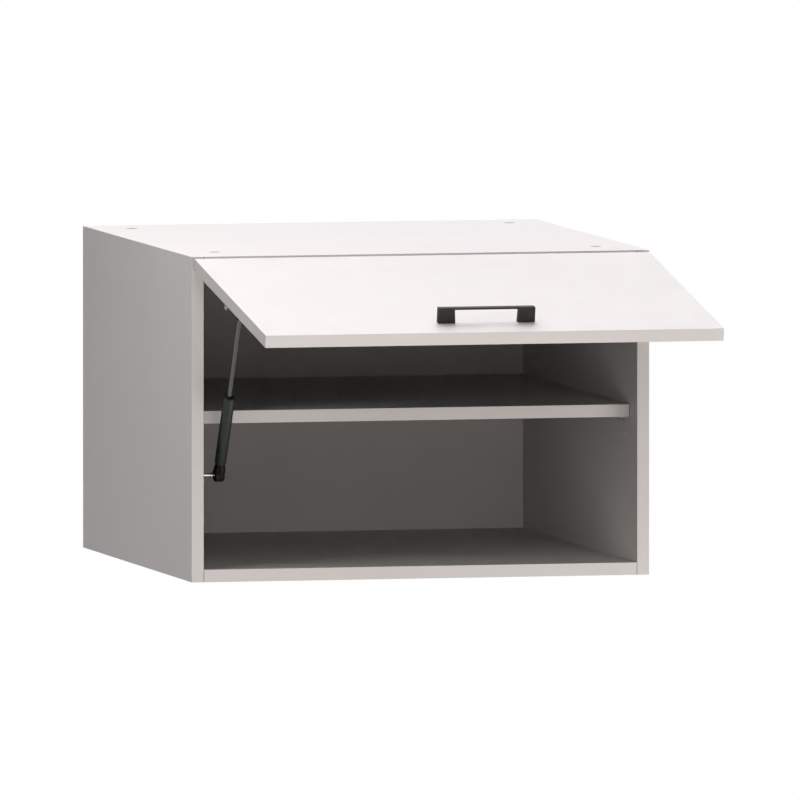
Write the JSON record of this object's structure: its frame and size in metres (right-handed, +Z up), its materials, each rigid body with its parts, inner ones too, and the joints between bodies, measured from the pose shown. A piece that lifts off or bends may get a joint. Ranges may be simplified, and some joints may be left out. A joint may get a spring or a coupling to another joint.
{
  "type": "lift up wall cabinet",
  "caption": "Deep white wall cabinet, one shelf, an upward-opening flap on cup hinges held up by a gas strut, black bridge handle.",
  "frame": {"origin": "centre of the back panel's rear face, which lies towards the wall", "axes": "+X right seen from the front, +Y back towards the wall, +Z up"},
  "size_m": [0.6, 1.0547, 0.416],
  "materials": {
    "white_board": "melamine-faced board, satin white",
    "edge_band": "thin plastic edge banding",
    "back_board": "painted hardboard",
    "beech": "fluted beech",
    "zinc": "die-cast zinc",
    "fitting_steel": "nickel-plated steel",
    "handle_black": "matt black powder coat",
    "hanger_plastic": "moulded white plastic",
    "bumper_silicone": "translucent silicone",
    "strut_paint": "dark grey paint",
    "rod_chrome": "ground and plated rod",
    "black_nylon": "black glass-filled nylon",
    "stud_zinc": "bright zinc plating"
  },
  "bodies": {
    "carcass": {"side_panel_left": "white_board", "side_panel_right": "white_board", "top_panel": "white_board", "bottom_panel": "white_board", "back_panel": "back_board", "carcass_edge_bands": "edge_band", "shelf": "white_board", "shelf_edge_band": "edge_band", "shelf_pins": "fitting_steel", "cam_locks": "zinc", "cam_bolts": "fitting_steel", "wood_dowels": "beech", "back_nails": "fitting_steel", "hanger_housing_left": "hanger_plastic", "hanger_housing_right": "hanger_plastic", "hanger_hook_left": "fitting_steel", "hanger_hook_right": "fitting_steel", "hanger_adjusters": "fitting_steel", "hanger_screws": "fitting_steel", "hinge_plate_left": "fitting_steel", "hinge_plate_right": "fitting_steel", "hinge_arm_left": "fitting_steel", "hinge_arm_right": "fitting_steel", "hinge_plate_screws": "fitting_steel", "hinge_arm_screws": "fitting_steel", "strut_wall_plate": "fitting_steel", "strut_lower_ball_stud": "stud_zinc", "strut_wall_screws": "fitting_steel"},
    "flap": {"flap_panel": "white_board", "flap_edge_bands": "edge_band", "flap_bumpers": "bumper_silicone", "handle": "handle_black", "handle_screws": "fitting_steel", "hinge_cup_left": "fitting_steel", "hinge_cup_right": "fitting_steel", "hinge_cup_screws": "fitting_steel", "strut_flap_bracket": "fitting_steel", "strut_bracket_screws": "fitting_steel"},
    "outer_links": {"hinge_outer_link_left": "fitting_steel", "hinge_outer_link_right": "fitting_steel"},
    "inner_links": {"hinge_inner_link_left": "fitting_steel", "hinge_inner_link_right": "fitting_steel"},
    "strut_tube": {"strut_cylinder": "strut_paint", "strut_rod_guide": "black_nylon", "strut_lower_socket": "black_nylon"},
    "strut_piston_rod": {"strut_rod": "rod_chrome", "strut_piston": "black_nylon", "strut_upper_socket": "black_nylon", "strut_upper_ball_stud": "stud_zinc"}
  },
  "joints": [
    {"name": "flap_hinge", "type": "hinge", "parent": "carcass", "child": "flap", "pos_m": [0, -0.64575, 0.19915], "axis": [1, 0, 0], "range_deg": [0, 80]},
    {"name": "outer_link_pivot", "type": "hinge", "parent": "carcass", "child": "outer_links", "pos_m": [0, -0.642, 0.1775], "axis": [1, 0, 0], "range_deg": [-49.99, 0]},
    {"name": "inner_link_pivot", "type": "hinge", "parent": "carcass", "child": "inner_links", "pos_m": [0, -0.6352, 0.1791], "axis": [1, 0, 0], "range_deg": [-18.77, 0]},
    {"name": "strut_pivot", "type": "hinge", "parent": "carcass", "child": "strut_tube", "pos_m": [-0.257, -0.5995, -0.0735], "axis": [1, 0, 0], "range_deg": [-26.63, 0]},
    {"name": "strut_extension", "type": "slide", "parent": "strut_tube", "child": "strut_piston_rod", "axis": [0, -0.5097, 0.8603], "range_m": [-0.08121, 0], "stiffness_N_per_m": 150, "springref_m": 0.8}
  ],
  "couplings": [
    {"joint": "outer_link_pivot", "follows": "flap_hinge", "ratio": -0.62118},
    {"joint": "inner_link_pivot", "follows": "flap_hinge", "ratio": -0.23084},
    {"joint": "strut_pivot", "follows": "flap_hinge", "ratio": -0.32915},
    {"joint": "strut_extension", "follows": "flap_hinge", "m_per_rad": -0.058019}
  ]
}
